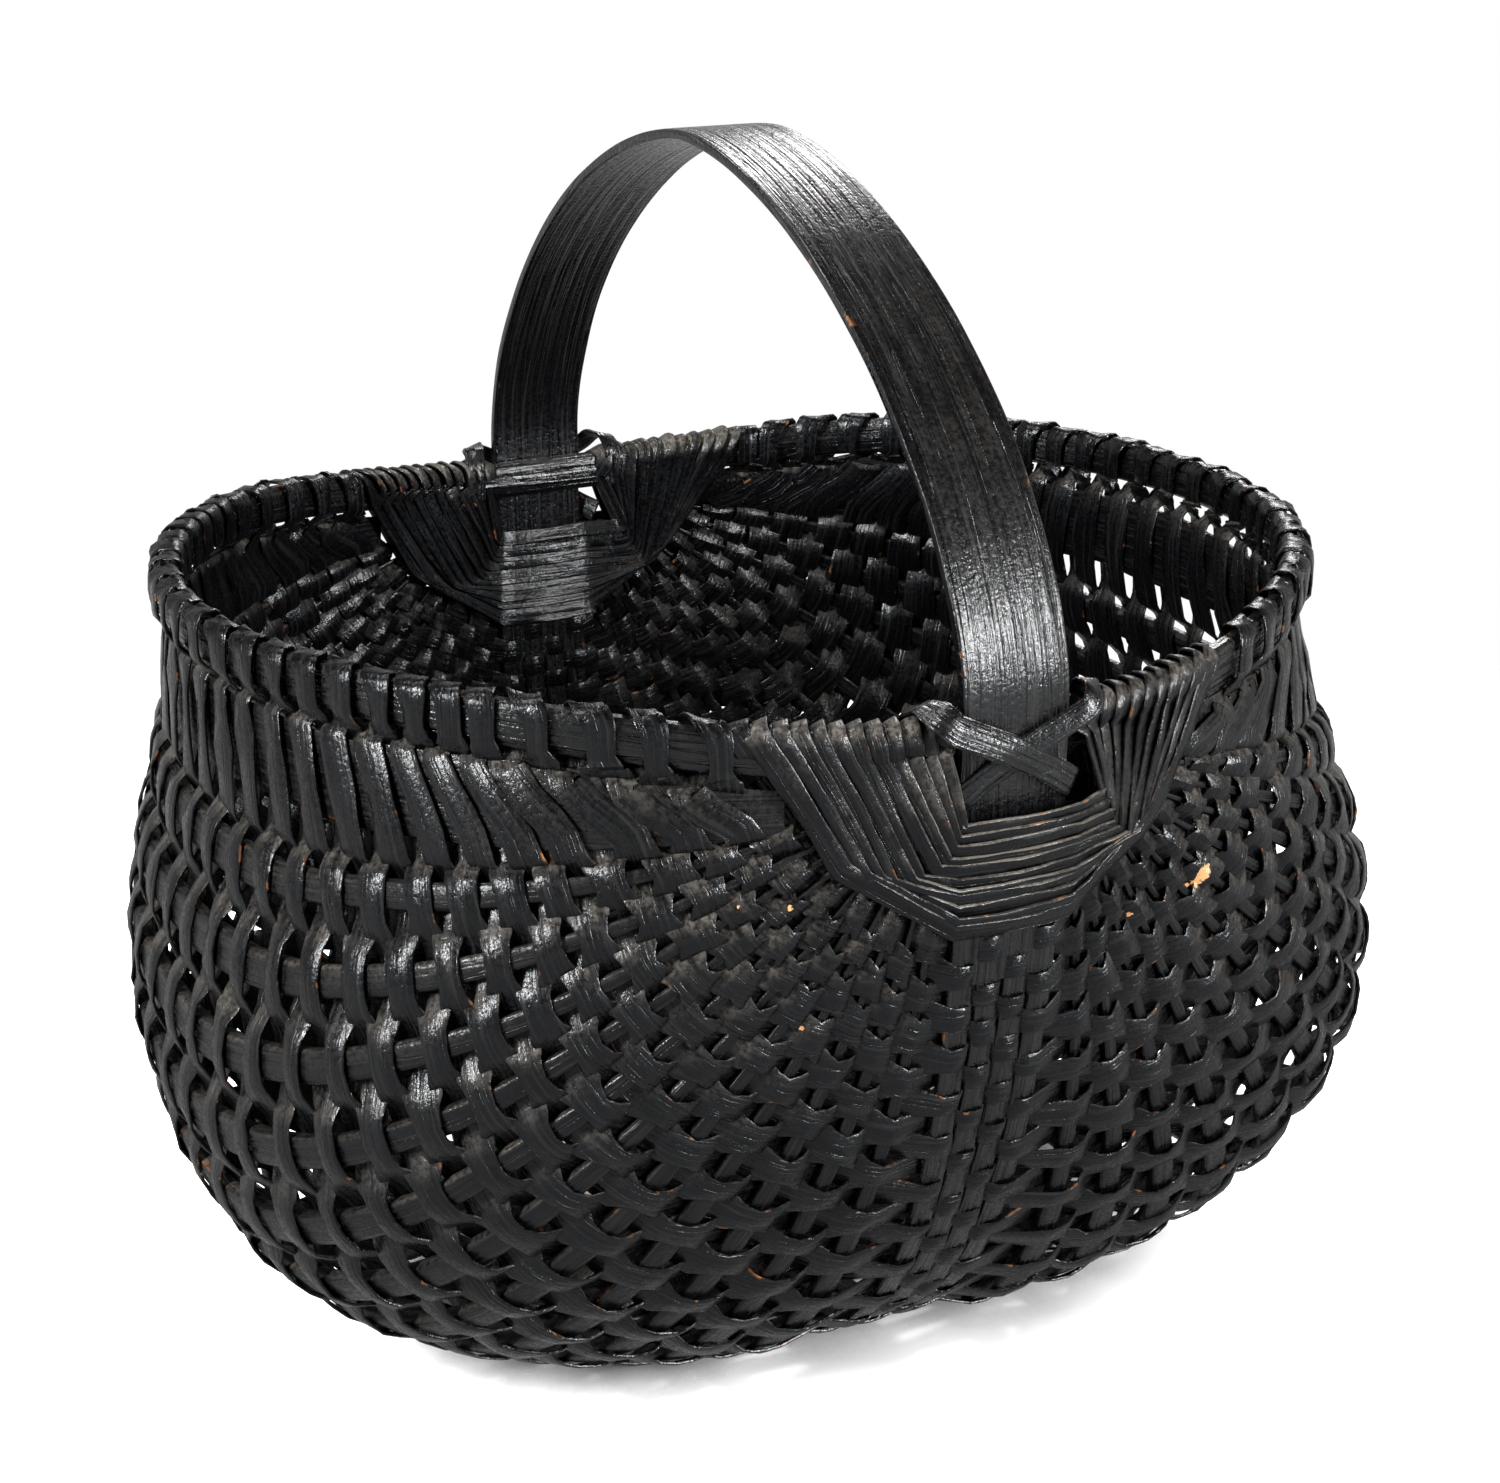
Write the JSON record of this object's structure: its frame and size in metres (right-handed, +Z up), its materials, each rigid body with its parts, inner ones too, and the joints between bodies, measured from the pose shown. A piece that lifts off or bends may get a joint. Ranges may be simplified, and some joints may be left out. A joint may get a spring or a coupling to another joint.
{
  "type": "buttocks basket",
  "caption": "Black-painted split-wood basket with two rounded lobes, woven over ribs, with a wrapped oval rim and one upright hoop handle.",
  "frame": {"origin": "centre of the bounding box's bottom face, on the surface the basket stands on", "axes": "+Z up to the handle, X across the two lobes, Y along the keel from the front ear (-Y) to the back ear (+Y)"},
  "size_m": [0.3084, 0.2624, 0.2968],
  "materials": {
    "hoop_wood": "worn satin black paint",
    "rib_wood": "matt black paint",
    "splint_wood": "worn satin black paint",
    "binding_wood": "dusty worn black paint"
  },
  "bodies": {
    "root": {"handle_hoop": "hoop_wood", "rim_hoop": "hoop_wood", "rib_left_01": "rib_wood", "rib_left_02": "rib_wood", "rib_left_03": "rib_wood", "rib_left_04": "rib_wood", "rib_left_05": "rib_wood", "rib_left_06": "rib_wood", "rib_left_07": "rib_wood", "rib_left_08": "rib_wood", "rib_left_09": "rib_wood", "rib_left_10": "rib_wood", "rib_left_11": "rib_wood", "rib_left_12": "rib_wood", "rib_right_01": "rib_wood", "rib_right_02": "rib_wood", "rib_right_03": "rib_wood", "rib_right_04": "rib_wood", "rib_right_05": "rib_wood", "rib_right_06": "rib_wood", "rib_right_07": "rib_wood", "rib_right_08": "rib_wood", "rib_right_09": "rib_wood", "rib_right_10": "rib_wood", "rib_right_11": "rib_wood", "rib_right_12": "rib_wood", "splint_01": "splint_wood", "splint_02": "splint_wood", "splint_03": "splint_wood", "splint_04": "splint_wood", "splint_05": "splint_wood", "splint_06": "splint_wood", "splint_07": "splint_wood", "splint_08": "splint_wood", "splint_09": "splint_wood", "front_ear_binding": "binding_wood", "back_ear_binding": "binding_wood", "front_lashing": "binding_wood", "back_lashing": "binding_wood"}
  },
  "joints": []
}
